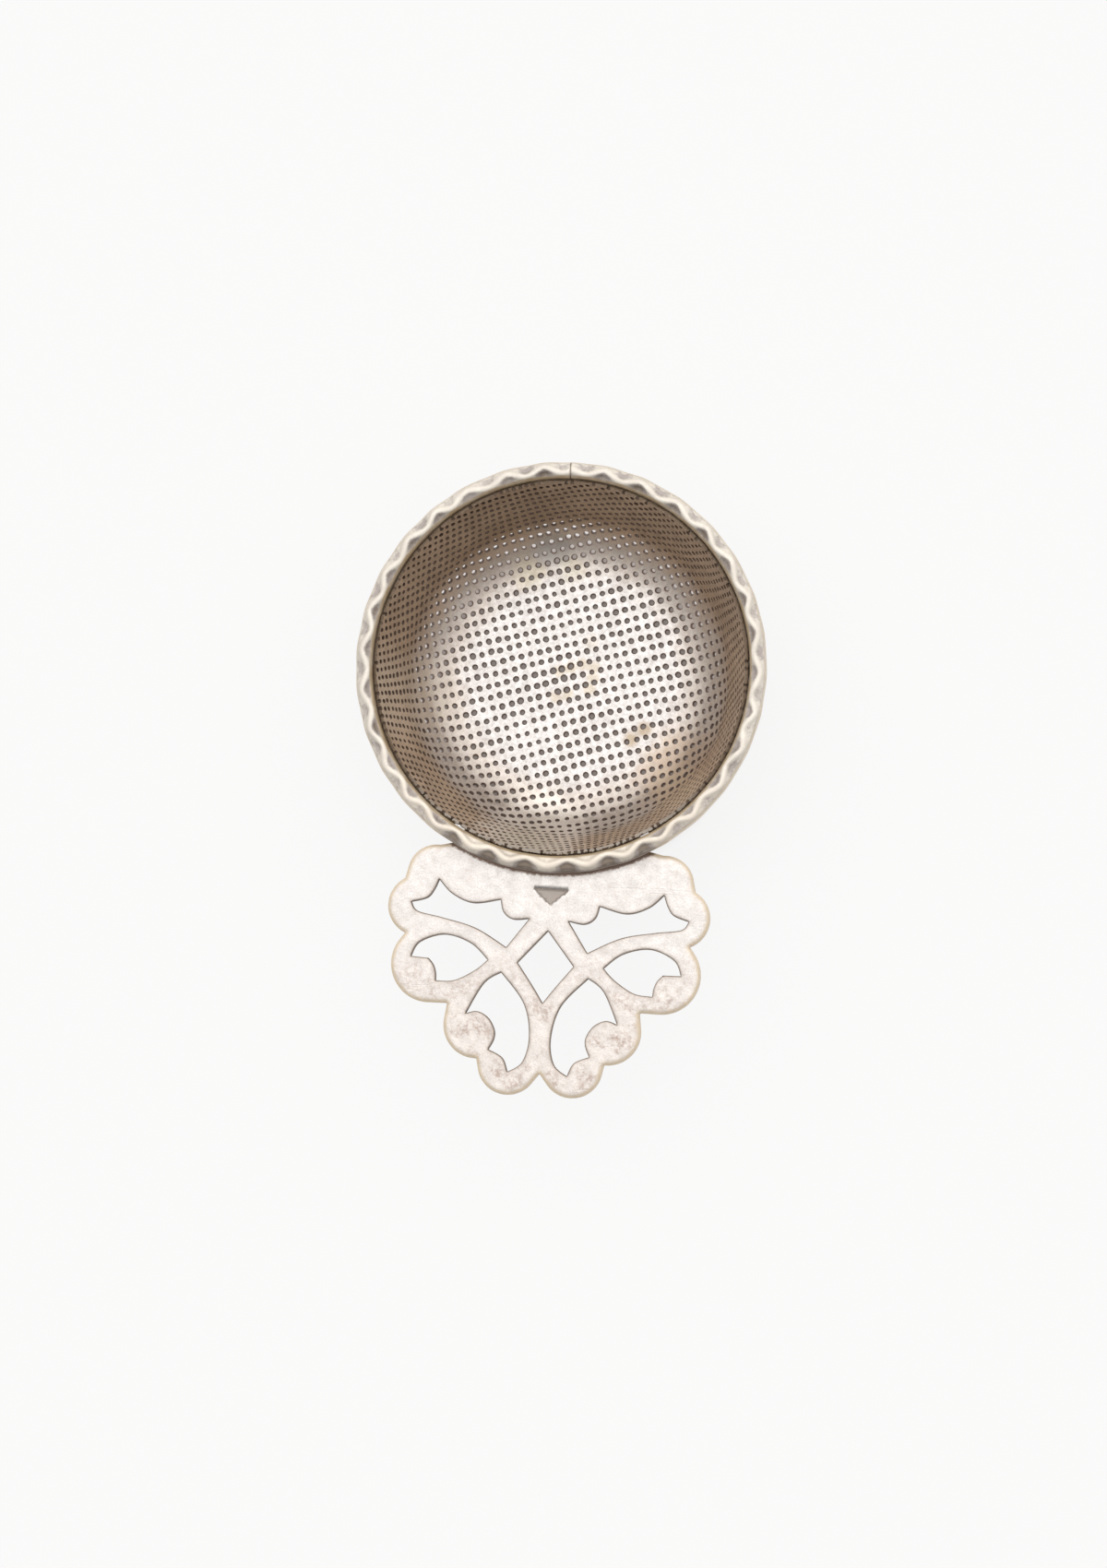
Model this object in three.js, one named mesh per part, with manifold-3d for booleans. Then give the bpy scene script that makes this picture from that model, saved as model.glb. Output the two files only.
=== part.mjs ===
// A silver tea strainer: a pressed, perforated bowl in a serpentine border wire, with one pierced
// handle. Millimetres, +Z up. The origin is the centre of the bowl's flat resting face, and the
// handle points along -Y.
import * as THREE from "three";
import { mergeVertices } from "three/addons/utils/BufferGeometryUtils.js";
import Module from "manifold-3d";

const wasm = await Module();
wasm.setup();

// Driving dimensions
const RIM_RADIUS = 34.07; // outside of the border wire
const TOTAL_HEIGHT = 21.4; // resting face to the wire's crest
const GAP = 0.3; // between pieces that touch

const SHEET = 0.55; // the bowl's silver sheet
const FLAT_RADIUS = 18.7; // the bowl's flat floor, outside face
const CORNER_RADIUS = 9; // outside, between floor and wall
const WALL_ANGLE = THREE.MathUtils.degToRad(75); // the wall's slope from the floor
const BOWL_HEIGHT = 20.1;
const BOWL_SEGMENTS = 48;
const CORNER_STEPS = 5;

const ROW_STEP = 1.59; // the punched grid, along a row
const COLUMN_STEP = 1.84; // from row to row
const KEEP_EVERY = 3; // only every third hole of every third row is cut here
const HOLE_RADIUS = 0.75;
const HOLE_SIDES = 4;
const GRID_TURN = THREE.MathUtils.degToRad(16);
const EDGE_BAND = 1.6; // the strip under the bowl's mouth that no hole may cut into

const WIRE_HEIGHT = 3.0;
const WIRE_WIDTH = 2.77;
const WIRE_RADIUS = RIM_RADIUS - WIRE_WIDTH / 2; // to the middle of the wire's width
const WAVES = 31.44; // ridge waves round the wire, which don't meet at its joint
const RIDGE_OFFSET = -0.15; // the ridge's mean place, from the middle of the wire's width
const RIDGE_SWING = 0.6; // the ridge's sideways swing
const RIDGE_HALF_WIDTH = 0.35;
const EDGE_SWING = 0.18; // the scalloped outer edge's swing
const SEAM_WIDTH = 0.3;

const HANDLE_THICKNESS = 1.4;
const HANDLE_BEVEL = 0.3;
const HANDLE_TOP = TOTAL_HEIGHT - WIRE_HEIGHT - GAP;
const HANDLE_FOOT = HANDLE_TOP - HANDLE_THICKNESS;
const HANDLE_ARC = 0.49; // half the angle that the handle's inner edge spans
const LOBE_STEP = 0.38; // the largest turn between two points of a lobe
const SOLDER_ARC = 0.54; // half the angle that the handle's solder takes from the rim's
const SOLDER_LEG = 0.85;
const FILLET_SEGMENTS = 96;

// The handle's right-hand lobes, from the bowl outwards, and the notch that follows each one
const LOBES = [
  { x: 18.9, y: -34.8, radius: 4.75, notch: [24.0, -35.8] },
  { x: 21.6, y: -40.2, radius: 5.0, notch: [23.5, -44.75] },
  { x: 19.15, y: -49.65, radius: 6.4, notch: [15.9, -56.0] },
  { x: 10.8, y: -59.3, radius: 5.5, notch: [10.55, -64.8] },
  { x: 5.3, y: -65.45, radius: 5.0, notch: [0, -66.75] },
];
const FIRST_LOBE_START = THREE.MathUtils.degToRad(110);

// The right-hand piercings. Each list of points is one smooth run, and the runs meet at corners.
const UPPER_PIERCING = [
  [[22.9, -40.2], [20.4, -39.4], [19.3, -38.0], [18.6, -36.2]],
  [[18.6, -36.2], [16.3, -38.4], [12.7, -39.7], [8.2, -38.8]],
  [[8.2, -38.8], [7.6, -40.8], [5.9, -41.9], [3.3, -41.6]],
  [[3.3, -41.6], [6.7, -46.5]],
  [[6.7, -46.5], [12.0, -43.7], [17.5, -42.4], [21.8, -41.6], [22.9, -40.2]],
];
const LEAF_PIERCING = [
  [[9.6, -48.8], [12.6, -46.3], [17.0, -45.2], [21.0, -46.7], [22.3, -49.1]],
  [[22.3, -49.1], [19.2, -49.4]],
  [[19.2, -49.4], [18.3, -51.0], [17.9, -52.8]],
  [[17.9, -52.8], [14.8, -52.5], [11.5, -50.6], [9.6, -48.8]],
];
const LOWER_PIERCING = [
  [[7.2, -50.7], [9.9, -52.7], [12.5, -57.8]],
  [[12.5, -57.8], [9.8, -57.7], [7.4, -60.2], [8.3, -63.4]],
  [[8.3, -63.4], [5.9, -64.6], [4.9, -66.8]],
  [[4.9, -66.8], [2.6, -65.0], [1.8, -60.8], [3.1, -55.5], [7.2, -50.7]],
];

// The piercing on the middle line
const DIAMOND_PIERCING = [
  [[0, -43.4], [4.6, -48.9]],
  [[4.6, -48.9], [1.8, -52.6], [0, -55.2]],
  [[0, -55.2], [-1.8, -52.6], [-4.6, -48.9]],
  [[-4.6, -48.9], [0, -43.4]],
];

// The small triangle between the bowl and the piercings is a recess that doesn't go through.
const TRIANGLE_CORNERS = [[-3.0, -36.4], [0, -39.1], [3.0, -36.4]];
const TRIANGLE_DEPTH = 0.8;

// The pierced pattern sits slightly turned on the casting, about its middle.
const PATTERN_TURN = THREE.MathUtils.degToRad(-1.3);
const PATTERN_MIDDLE = new THREE.Vector2(0.14, -50);

const BODY_SILVER = { color: 0xb9aea0, metalness: 0.9, roughness: 0.38 };
const CAST_SILVER = { color: 0xece4de, metalness: 0.85, roughness: 0.34 };
const SOLDER_SILVER = { color: 0x8c8070, metalness: 0.8, roughness: 0.55 };

// Solids and geometries

function toSolid(geometry) {
  const bare = geometry.clone();
  bare.deleteAttribute("normal");
  bare.deleteAttribute("uv");
  const merged = mergeVertices(bare, 1e-4);
  const corners = merged.index.array;
  const triangles = [];
  for (let i = 0; i < corners.length; i += 3) {
    const [a, b, c] = corners.slice(i, i + 3);
    if (a !== b && b !== c && c !== a) triangles.push(a, b, c);
  }
  return new wasm.Manifold(
    new wasm.Mesh({
      numProp: 3,
      vertProperties: merged.attributes.position.array,
      triVerts: new Uint32Array(triangles),
    }),
  );
}

function toGeometry(solid) {
  const mesh = solid.getMesh();
  const geometry = new THREE.BufferGeometry();
  geometry.setAttribute("position", new THREE.BufferAttribute(mesh.vertProperties, 3));
  geometry.setIndex(new THREE.BufferAttribute(mesh.triVerts, 1));
  return geometry;
}

// A profile of [radius, height] points turned round Z
function turned(points, segments) {
  const profile = points.map(([radius, height]) => new THREE.Vector2(radius, height));
  return new THREE.LatheGeometry(profile, segments).rotateX(Math.PI / 2);
}

// The bowl's half profile, as a point and a slope at a distance along the sheet from its centre.
// inset is the depth below the outside face.
const CORNER_LENGTH = CORNER_RADIUS * WALL_ANGLE;
const WALL_LENGTH =
  (BOWL_HEIGHT - CORNER_RADIUS * (1 - Math.cos(WALL_ANGLE))) / Math.sin(WALL_ANGLE);
const SHEET_LENGTH = FLAT_RADIUS + CORNER_LENGTH + WALL_LENGTH;

function bowlPoint(distance, inset) {
  const bend = THREE.MathUtils.clamp((distance - FLAT_RADIUS) / CORNER_RADIUS, 0, WALL_ANGLE);
  const onFlat = Math.min(distance, FLAT_RADIUS);
  const onWall = Math.max(distance - FLAT_RADIUS - CORNER_LENGTH, 0);
  const reach = CORNER_RADIUS - inset;
  return {
    radius: onFlat + reach * Math.sin(bend) + onWall * Math.cos(bend),
    height: CORNER_RADIUS - reach * Math.cos(bend) + onWall * Math.sin(bend),
    slope: bend,
  };
}

// The outside of the bowl's wall at a height
function wallRadius(height) {
  const mouth = bowlPoint(SHEET_LENGTH, 0);
  return mouth.radius - (mouth.height - height) / Math.tan(WALL_ANGLE);
}

function bowlProfile() {
  const stations = [0];
  for (let i = 0; i <= CORNER_STEPS; i++) {
    stations.push(FLAT_RADIUS + (CORNER_LENGTH * i) / CORNER_STEPS);
  }
  stations.push(SHEET_LENGTH);
  const outside = stations.map((s) => bowlPoint(s, 0));
  const inside = stations.map((s) => bowlPoint(s, SHEET)).reverse();
  return [...outside, ...inside].map((p) => [p.radius, p.height]);
}

// The grid is punched in the flat disc, which is then pressed: each hole keeps its direction from
// the centre and its distance along the sheet.
function holeSolids() {
  const holes = [];
  const alongRow = KEEP_EVERY * ROW_STEP;
  const betweenRows = KEEP_EVERY * COLUMN_STEP;
  const reach = Math.ceil(SHEET_LENGTH / alongRow);
  for (let i = -reach; i < reach; i++) {
    for (let j = -reach; j < reach; j++) {
      const flat = new THREE.Vector2((i + 0.5) * alongRow, (j + 0.5) * betweenRows);
      if (flat.length() < SHEET_LENGTH - EDGE_BAND) holes.push(holeAt(flat));
    }
  }
  return holes;
}

function holeAt(flat) {
  const { radius, height, slope } = bowlPoint(flat.length(), SHEET / 2);
  const angle = flat.angle() + GRID_TURN;
  const punch = new THREE.CylinderGeometry(HOLE_RADIUS, HOLE_RADIUS, 4 * SHEET, HOLE_SIDES);
  punch.rotateX(Math.PI / 2);
  punch.rotateY(-slope);
  punch.translate(radius, 0, height);
  punch.rotateZ(angle);
  return toSolid(punch);
}

function strainerBowl() {
  const blank = toSolid(turned(bowlProfile(), BOWL_SEGMENTS)).asOriginal();
  return toGeometry(holeSolids().reduce((bowl, hole) => bowl.subtract(hole), blank));
}

// The wire's section at an angle round the rim, as [outward, up] from its centre line's foot. The
// ridge swings from side to side, and the outer edge is scalloped with it.
function wireSection(angle) {
  const wave = -Math.cos(angle * WAVES);
  const half = WIRE_WIDTH / 2;
  const ridge = RIDGE_OFFSET + RIDGE_SWING * wave;
  const edge = half - (EDGE_SWING * (1 - wave)) / 2;
  return [
    [-0.75 * half, 0],
    [0.75 * half, 0],
    [edge, 0.35 * WIRE_HEIGHT],
    [0.9 * edge, 0.65 * WIRE_HEIGHT],
    [ridge + RIDGE_HALF_WIDTH, 0.97 * WIRE_HEIGHT],
    [ridge, WIRE_HEIGHT],
    [ridge - RIDGE_HALF_WIDTH, 0.97 * WIRE_HEIGHT],
    [-0.95 * half, 0.65 * WIRE_HEIGHT],
    [-half, 0.35 * WIRE_HEIGHT],
  ];
}

// A closed ring through sections, starting from the joint at +Y
function wireRing() {
  const steps = Math.round(4 * WAVES);
  const foot = TOTAL_HEIGHT - WIRE_HEIGHT;
  const corners = wireSection(0).length;
  const points = [];
  const triangles = [];
  for (let i = 0; i < steps; i++) {
    const angle = (2 * Math.PI * i) / steps;
    const direction = angle + Math.PI / 2;
    for (const [outward, up] of wireSection(angle)) {
      const radius = WIRE_RADIUS + outward;
      points.push(radius * Math.cos(direction), radius * Math.sin(direction), foot + up);
    }
    const here = i * corners;
    const there = ((i + 1) % steps) * corners;
    for (let k = 0; k < corners; k++) {
      const next = (k + 1) % corners;
      triangles.push(here + k, there + k, here + next);
      triangles.push(here + next, there + k, there + next);
    }
  }
  const geometry = new THREE.BufferGeometry();
  geometry.setAttribute("position", new THREE.Float32BufferAttribute(points, 3));
  geometry.setIndex(triangles);
  return toSolid(geometry);
}

// A block across the wire's joint at +Y
function jointBlock(width) {
  const block = new THREE.BoxGeometry(width, 3 * WIRE_WIDTH, 3 * WIRE_HEIGHT);
  return toSolid(block.translate(0, WIRE_RADIUS, TOTAL_HEIGHT));
}

// A wedge of the space round Z, centred on -Y
function wedge(halfAngle) {
  const reach = 2 * RIM_RADIUS;
  const shape = new THREE.Shape();
  shape.lineTo(reach * Math.sin(-halfAngle), -reach * Math.cos(halfAngle));
  shape.lineTo(reach * Math.sin(halfAngle), -reach * Math.cos(halfAngle));
  return toSolid(new THREE.ExtrudeGeometry(shape, { depth: TOTAL_HEIGHT, bevelEnabled: false }));
}

// A three-sided fillet ring against the bowl's wall, under something at a height
function filletRing(top) {
  const low = top - SOLDER_LEG;
  const section = [
    [wallRadius(low) + GAP, low],
    [wallRadius(top) + GAP + SOLDER_LEG, top],
    [wallRadius(top) + GAP, top],
  ];
  return toSolid(turned([...section, section[0]], FILLET_SEGMENTS));
}

// The angle at which a lobe's circle is left or met on a straight run to a notch outside it
function tangentAngle(lobe, [x, y], turn) {
  const away = new THREE.Vector2(x - lobe.x, y - lobe.y);
  return away.angle() + turn * Math.acos(Math.min(1, lobe.radius / away.length()));
}

// One side's outline, clockwise from the first lobe to the notch on the middle line
function lobeOutline() {
  const points = [];
  let start = FIRST_LOBE_START;
  LOBES.forEach((lobe, i) => {
    const end = tangentAngle(lobe, lobe.notch, 1);
    const span = THREE.MathUtils.euclideanModulo(start - end, 2 * Math.PI);
    const arc = new THREE.Path().absarc(lobe.x, lobe.y, lobe.radius, start, start - span, true);
    points.push(...arc.getPoints(Math.ceil(span / LOBE_STEP)), new THREE.Vector2(...lobe.notch));
    if (i + 1 < LOBES.length) start = tangentAngle(LOBES[i + 1], lobe.notch, -1);
  });
  return points;
}

function handleShape() {
  const inner = wallRadius(HANDLE_TOP) + GAP;
  const left = -Math.PI / 2 - HANDLE_ARC;
  const right = -Math.PI / 2 + HANDLE_ARC;
  const arc = new THREE.Path().absarc(0, 0, inner, left, right, false);
  const side = lobeOutline();
  const otherSide = side.slice(0, -1).reverse().map((p) => new THREE.Vector2(-p.x, p.y));
  return new THREE.Shape([...arc.getPoints(6), ...side, ...otherSide].reverse());
}

function onPattern(x, y) {
  return new THREE.Vector2(x, y).rotateAround(PATTERN_MIDDLE, PATTERN_TURN);
}

// A piercing from its runs, on the right (side 1) or mirrored on the left (side -1)
function piercing(runs, side) {
  const place = ([x, y]) => onPattern(side * x, y);
  const path = new THREE.Path();
  path.moveTo(place(runs[0][0]).x, place(runs[0][0]).y);
  for (const run of runs) path.splineThru(run.slice(1).map(place));
  return path;
}

function handlePlate() {
  const shape = handleShape();
  for (const side of [1, -1]) {
    shape.holes.push(piercing(UPPER_PIERCING, side));
    shape.holes.push(piercing(LEAF_PIERCING, side));
    shape.holes.push(piercing(LOWER_PIERCING, side));
  }
  shape.holes.push(piercing(DIAMOND_PIERCING, 1));
  const plate = new THREE.ExtrudeGeometry(shape, {
    depth: HANDLE_THICKNESS - 2 * HANDLE_BEVEL,
    bevelThickness: HANDLE_BEVEL,
    bevelSize: HANDLE_BEVEL,
    bevelOffset: -HANDLE_BEVEL,
    bevelSegments: 1,
    curveSegments: 2,
  });
  plate.translate(0, 0, HANDLE_FOOT + HANDLE_BEVEL);
  const triangle = new THREE.Shape(TRIANGLE_CORNERS.map(([x, y]) => onPattern(x, y)));
  const cutter = new THREE.ExtrudeGeometry(triangle, { depth: HANDLE_THICKNESS, bevelEnabled: false });
  cutter.translate(0, 0, HANDLE_TOP - TRIANGLE_DEPTH);
  return toGeometry(toSolid(plate).subtract(toSolid(cutter)));
}

// The assembly

const strainer = new THREE.Group();

function addPiece(name, geometry, look) {
  const piece = new THREE.Mesh(geometry, new THREE.MeshStandardMaterial(look));
  piece.name = name;
  strainer.add(piece);
}

const ring = wireRing();

addPiece("strainer_bowl", strainerBowl(), BODY_SILVER);
addPiece("rim_wire", toGeometry(ring.subtract(jointBlock(SEAM_WIDTH + 2 * GAP))), CAST_SILVER);
addPiece("rim_seam_solder", toGeometry(ring.intersect(jointBlock(SEAM_WIDTH))), SOLDER_SILVER);
addPiece("handle", handlePlate(), CAST_SILVER);
addPiece("rim_solder", toGeometry(filletRing(HANDLE_TOP).subtract(wedge(SOLDER_ARC))), SOLDER_SILVER);
addPiece(
  "handle_solder",
  toGeometry(filletRing(HANDLE_FOOT - GAP).intersect(wedge(HANDLE_ARC))),
  SOLDER_SILVER,
);

export default strainer;
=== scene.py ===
import math

import bpy
import numpy as np
from mathutils import Matrix, Vector, geometry


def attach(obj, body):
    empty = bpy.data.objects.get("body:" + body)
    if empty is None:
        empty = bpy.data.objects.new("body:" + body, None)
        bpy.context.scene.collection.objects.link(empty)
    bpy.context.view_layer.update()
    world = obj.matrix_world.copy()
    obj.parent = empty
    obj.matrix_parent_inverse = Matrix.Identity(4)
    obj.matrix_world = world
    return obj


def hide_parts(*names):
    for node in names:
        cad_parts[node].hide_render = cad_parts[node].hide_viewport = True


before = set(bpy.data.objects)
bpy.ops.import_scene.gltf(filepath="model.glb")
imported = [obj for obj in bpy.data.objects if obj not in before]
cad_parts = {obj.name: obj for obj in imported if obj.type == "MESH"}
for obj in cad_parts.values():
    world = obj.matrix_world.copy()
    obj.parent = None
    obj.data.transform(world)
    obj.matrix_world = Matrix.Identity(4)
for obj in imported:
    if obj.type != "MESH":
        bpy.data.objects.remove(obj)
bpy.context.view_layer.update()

# A silver tea strainer. Its visual model is built in millimetres, and each mesh is scaled to
# metres as it is made. +Z is up through the bowl's mouth and the handle points along -Y.

rng = np.random.default_rng(31)

MM = 0.001
TURN = 2 * math.pi
RIM_RADIUS = 33.93  # outside of the border wire
TOTAL_HEIGHT = 21.4  # resting face to the wire's crest
SHEET = 0.55  # the bowl's silver sheet
FLAT_RADIUS = 18.7  # the bowl's flat floor, outside face
CORNER_RADIUS = 9.0  # outside, between floor and wall
WALL_ANGLE = math.radians(75)  # the wall's slope from the floor
BOWL_HEIGHT = 20.1
ROW_STEP = 1.59  # the punched grid, along a row
COLUMN_STEP = 1.84  # from row to row
GRID_TURN = math.radians(16)
WIRE_HEIGHT = 3.0
WIRE_WIDTH = 2.83
WIRE_RADIUS = RIM_RADIUS - WIRE_WIDTH / 2  # to the middle of the wire's width
WIRE_FOOT = TOTAL_HEIGHT - WIRE_HEIGHT
HANDLE_TOP = 18.1
HANDLE_FOOT = 16.7
HANDLE_ARC = 0.49  # half the angle that the handle's inner edge spans


# Meshes

TINY = 1e-6  # the least length to divide by
MERGE_DISTANCE = 1e-5
SLIVER_AREA = 1e-9
TRIANGLES_OF_HULL = 0  # the triangulation's kind of output


def make_piece(name, points, faces, looks, face_looks=None, corner_normals=None):
    """An object from points in millimetres, with a material slot for each look."""
    mesh = bpy.data.meshes.new(name)
    mesh.from_pydata((np.asarray(points) * MM).tolist(), [], faces)
    for look in looks:
        mesh.materials.append(look)
    if face_looks is not None:
        mesh.polygons.foreach_set("material_index", np.asarray(face_looks, np.int32))
    mesh.shade_smooth()
    if corner_normals is not None:
        mesh.normals_split_custom_set(corner_normals.tolist())
    mesh.update()
    piece = bpy.data.objects.new(name, mesh)
    bpy.context.scene.collection.objects.link(piece)
    return piece


def add_values(piece, values):
    """Numbers for each point, which a material can read by their name."""
    for name, numbers in values.items():
        attribute = piece.data.attributes.new(name, "FLOAT", "POINT")
        attribute.data.foreach_set("value", np.asarray(numbers, np.float32))


def unit(vectors):
    return vectors / np.linalg.norm(vectors, axis=1, keepdims=True)


def on_circle(angles):
    return np.stack([np.cos(angles), np.sin(angles)], axis=1)


def smooth(value):
    """0 to 1 with level ends."""
    t = np.clip(value, 0, 1)
    return t * t * (3 - 2 * t)


def ripple(x, y, seed, wavelength, terms=7):
    """A smooth field from about -1 to 1, with that wavelength."""
    waves = np.random.default_rng(seed)
    total = np.zeros_like(x)
    for _ in range(terms):
        angle = waves.uniform(0, TURN)
        phase = waves.uniform(0, TURN)
        wave_number = TURN / (wavelength * waves.uniform(0.7, 1.4))
        total += np.sin(wave_number * (x * math.cos(angle) + y * math.sin(angle)) + phase)
    return total / math.sqrt(terms)


def triangulate(points, edges):
    """Points and edges in the plane, as the triangles of their convex hull."""
    corners = [Vector(p) for p in points]
    found = geometry.delaunay_2d_cdt(corners, edges, [], TRIANGLES_OF_HULL, MERGE_DISTANCE)
    return np.array([tuple(p) for p in found[0]]), np.array(found[2])


def counter_clockwise(points, triangles):
    """The triangles turned to face up, without slivers."""
    a, b, c = (points[triangles[:, k]] for k in range(3))
    area = (b - a)[:, 0] * (c - a)[:, 1] - (b - a)[:, 1] * (c - a)[:, 0]
    flipped = triangles.copy()
    flipped[area < 0] = triangles[area < 0][:, ::-1]
    return flipped[np.abs(area) > SLIVER_AREA]


def loop_edges(first, count):
    return [(first + k, first + (k + 1) % count) for k in range(count)]


def edges_of(triangles):
    return np.concatenate([triangles[:, [0, 1]], triangles[:, [1, 2]], triangles[:, [2, 0]]])


def border_of(triangles):
    """The directed edges that only one triangle has."""
    edges = edges_of(triangles)
    _, where, counts = np.unique(
        np.sort(edges, axis=1), axis=0, return_inverse=True, return_counts=True
    )
    return edges[counts[where.ravel()] == 1]


def without_chips(triangles):
    """The largest group of triangles that join each other edge to edge."""
    _, where = np.unique(np.sort(edges_of(triangles), axis=1), axis=0, return_inverse=True)
    where = where.ravel()
    order = np.argsort(where, kind="stable")
    shared = np.flatnonzero(where[order][1:] == where[order][:-1])
    owner = np.tile(np.arange(len(triangles)), 3)[order]
    one, other = owner[shared], owner[shared + 1]
    group = np.arange(len(triangles))
    while True:
        joined = group.copy()
        lower = np.minimum(group[one], group[other])
        np.minimum.at(joined, one, lower)
        np.minimum.at(joined, other, lower)
        joined = joined[joined]
        if np.array_equal(joined, group):
            return triangles[group == np.bincount(group).argmax()]
        group = joined


def slab_faces(triangles, border, count):
    """A slab's top, underside and side faces, and which of its points they use.

    Each point's copy on the underside comes count places after it.
    """
    sides = np.stack([border[:, 1], border[:, 0], border[:, 0] + count, border[:, 1] + count], axis=1)
    used = np.zeros(2 * count, bool)
    used[triangles.ravel()] = True
    used[triangles.ravel() + count] = True
    fresh = np.cumsum(used) - 1
    parts = (triangles, triangles[:, ::-1] + count, sides)
    return [face for part in parts for face in fresh[part].tolist()], used


def tube_faces(rows, around):
    """The sides and end caps of a tube, from rows of points that go round it."""
    faces = []
    for row in range(rows - 1):
        here, there = row * around, (row + 1) * around
        for k in range(around):
            after = (k + 1) % around
            faces.append([here + k, here + after, there + after, there + k])
    first = list(range(around))
    last = list(range((rows - 1) * around, rows * around))
    return [*faces, first[::-1], last]


# The bowl: a disc, punched in the flat and then pressed

CORNER_LENGTH = CORNER_RADIUS * WALL_ANGLE
WALL_LENGTH = (BOWL_HEIGHT - CORNER_RADIUS * (1 - math.cos(WALL_ANGLE))) / math.sin(WALL_ANGLE)
SHEET_RADIUS = FLAT_RADIUS + CORNER_LENGTH + WALL_LENGTH
DENT_MIDDLE = 0.06  # how deep the sheet's long dents go
DENT_SWING = 0.05
DENT_LEAST = 0.005
DENT_WAVELENGTH = 11
NORMAL_STEP = 0.05

GRID_START = (0.08, 0.13)  # where the grid's middle hole is, in steps from the axis
GRID_BEND = 0.12  # how far the grid's rows wander
GRID_BEND_WAVELENGTH = 30
GRID_SCATTER = 0.055  # how far a hole is off its row
GRID_SCATTER_LIMIT = 0.1
HOLE_SIDES = 10
HOLE_RADIUS = 0.46
HOLE_DRIFT = 0.03  # in the radius, from place to place
HOLE_DRIFT_WAVELENGTH = 16
HOLE_SCATTER = 0.035  # from hole to hole
HOLE_LEAST = 0.37
HOLE_MOST = 0.6
HOLE_OVAL = 0.05
WORN_AT = (-1.6, -0.6)  # where wear has opened the holes
WORN_SPREAD = 14
WORN_GROWTH = 0.11
PAST_RIM = 0.45  # the last row of holes, past the disc's edge
ROLL = 0.11  # the rounded edge round a hole, across
ROLL_DEPTH = 0.07  # on the inside of the bowl
UNDER_ROLL_DEPTH = 0.04
TAPER = 0.7  # a hole's outside radius, against its inside one
EDGE_REACH = 1.05  # a point this many radii from a hole's middle is on its edge
EDGE_SLACK = 0.02
ROLL_LEAN = 0.9  # how far the normals on a hole's edge lean into it
UNDER_ROLL_LEAN = 0.5
RIM_STEPS = 420
RIM_MARGIN = 1.8  # no point between holes is this close to the disc's edge
AT_RIM = 0.01
CHUNK = 4000
HOLE_MARGIN = 0.012
RIM_SHARE = 0.99997
INSIDE, OUTSIDE, HOLE_WALL, CUT_RIM = range(4)


def pressed(flat, inset):
    """Where points of the flat disc lie on the bowl, inset from its outside face."""
    distance = np.hypot(flat[:, 0], flat[:, 1])
    safe = np.maximum(distance, TINY)
    cos, sin = flat[:, 0] / safe, flat[:, 1] / safe
    bend = np.clip((distance - FLAT_RADIUS) / CORNER_RADIUS, 0, WALL_ANGLE)
    on_wall = np.maximum(distance - FLAT_RADIUS - CORNER_LENGTH, 0)
    dents = DENT_MIDDLE + DENT_SWING * ripple(flat[:, 0], flat[:, 1], 5, DENT_WAVELENGTH)
    reach = CORNER_RADIUS - inset - np.maximum(dents, DENT_LEAST)
    radius = np.minimum(distance, FLAT_RADIUS) + reach * np.sin(bend) + on_wall * np.cos(bend)
    height = CORNER_RADIUS - reach * np.cos(bend) + on_wall * np.sin(bend)
    return np.stack([radius * cos, radius * sin, height], axis=1)


def pressed_normals(flat):
    """The normals of the bowl's inside, above points of the flat disc."""
    step = NORMAL_STEP
    ahead = pressed(flat + [step, 0], SHEET) - pressed(flat - [step, 0], SHEET)
    aside = pressed(flat + [0, step], SHEET) - pressed(flat - [0, step], SHEET)
    return unit(np.cross(ahead, aside))


def scatter(count):
    return rng.normal(0, GRID_SCATTER, count).clip(-GRID_SCATTER_LIMIT, GRID_SCATTER_LIMIT)


def punched_holes():
    """Centres and radii of the holes in the flat disc."""
    reach = int(SHEET_RADIUS / ROW_STEP) + 3
    i, j = np.meshgrid(np.arange(-reach, reach + 1), np.arange(-reach, reach + 1))
    u = ((i + GRID_START[0]) * ROW_STEP).ravel()
    v = ((j + GRID_START[1]) * COLUMN_STEP).ravel()
    u = u + GRID_BEND * ripple(u, v, 11, GRID_BEND_WAVELENGTH) + scatter(u.size)
    v = v + GRID_BEND * ripple(u, v, 12, GRID_BEND_WAVELENGTH) + scatter(v.size)
    cos, sin = math.cos(GRID_TURN), math.sin(GRID_TURN)
    centres = np.stack([u * cos - v * sin, u * sin + v * cos], axis=1)
    drift = HOLE_DRIFT * ripple(u, v, 13, HOLE_DRIFT_WAVELENGTH)
    radii = HOLE_RADIUS + drift + rng.normal(0, HOLE_SCATTER, u.size)
    from_worn = (centres[:, 0] - WORN_AT[0]) ** 2 + (centres[:, 1] - WORN_AT[1]) ** 2
    radii = (radii + WORN_GROWTH * np.exp(-from_worn / WORN_SPREAD)).clip(HOLE_LEAST, HOLE_MOST)
    kept = np.hypot(*centres.T) < SHEET_RADIUS + PAST_RIM
    return centres[kept], radii[kept]


def nearest_hole(points, centres):
    """Each point's nearest hole, in chunks that keep the table small."""
    index = np.empty(len(points), int)
    for start in range(0, len(points), CHUNK):
        part = points[start : start + CHUNK]
        away = ((part[:, None, :] - centres[None, :, :]) ** 2).sum(axis=2)
        index[start : start + CHUNK] = away.argmin(axis=1)
    return index


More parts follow.
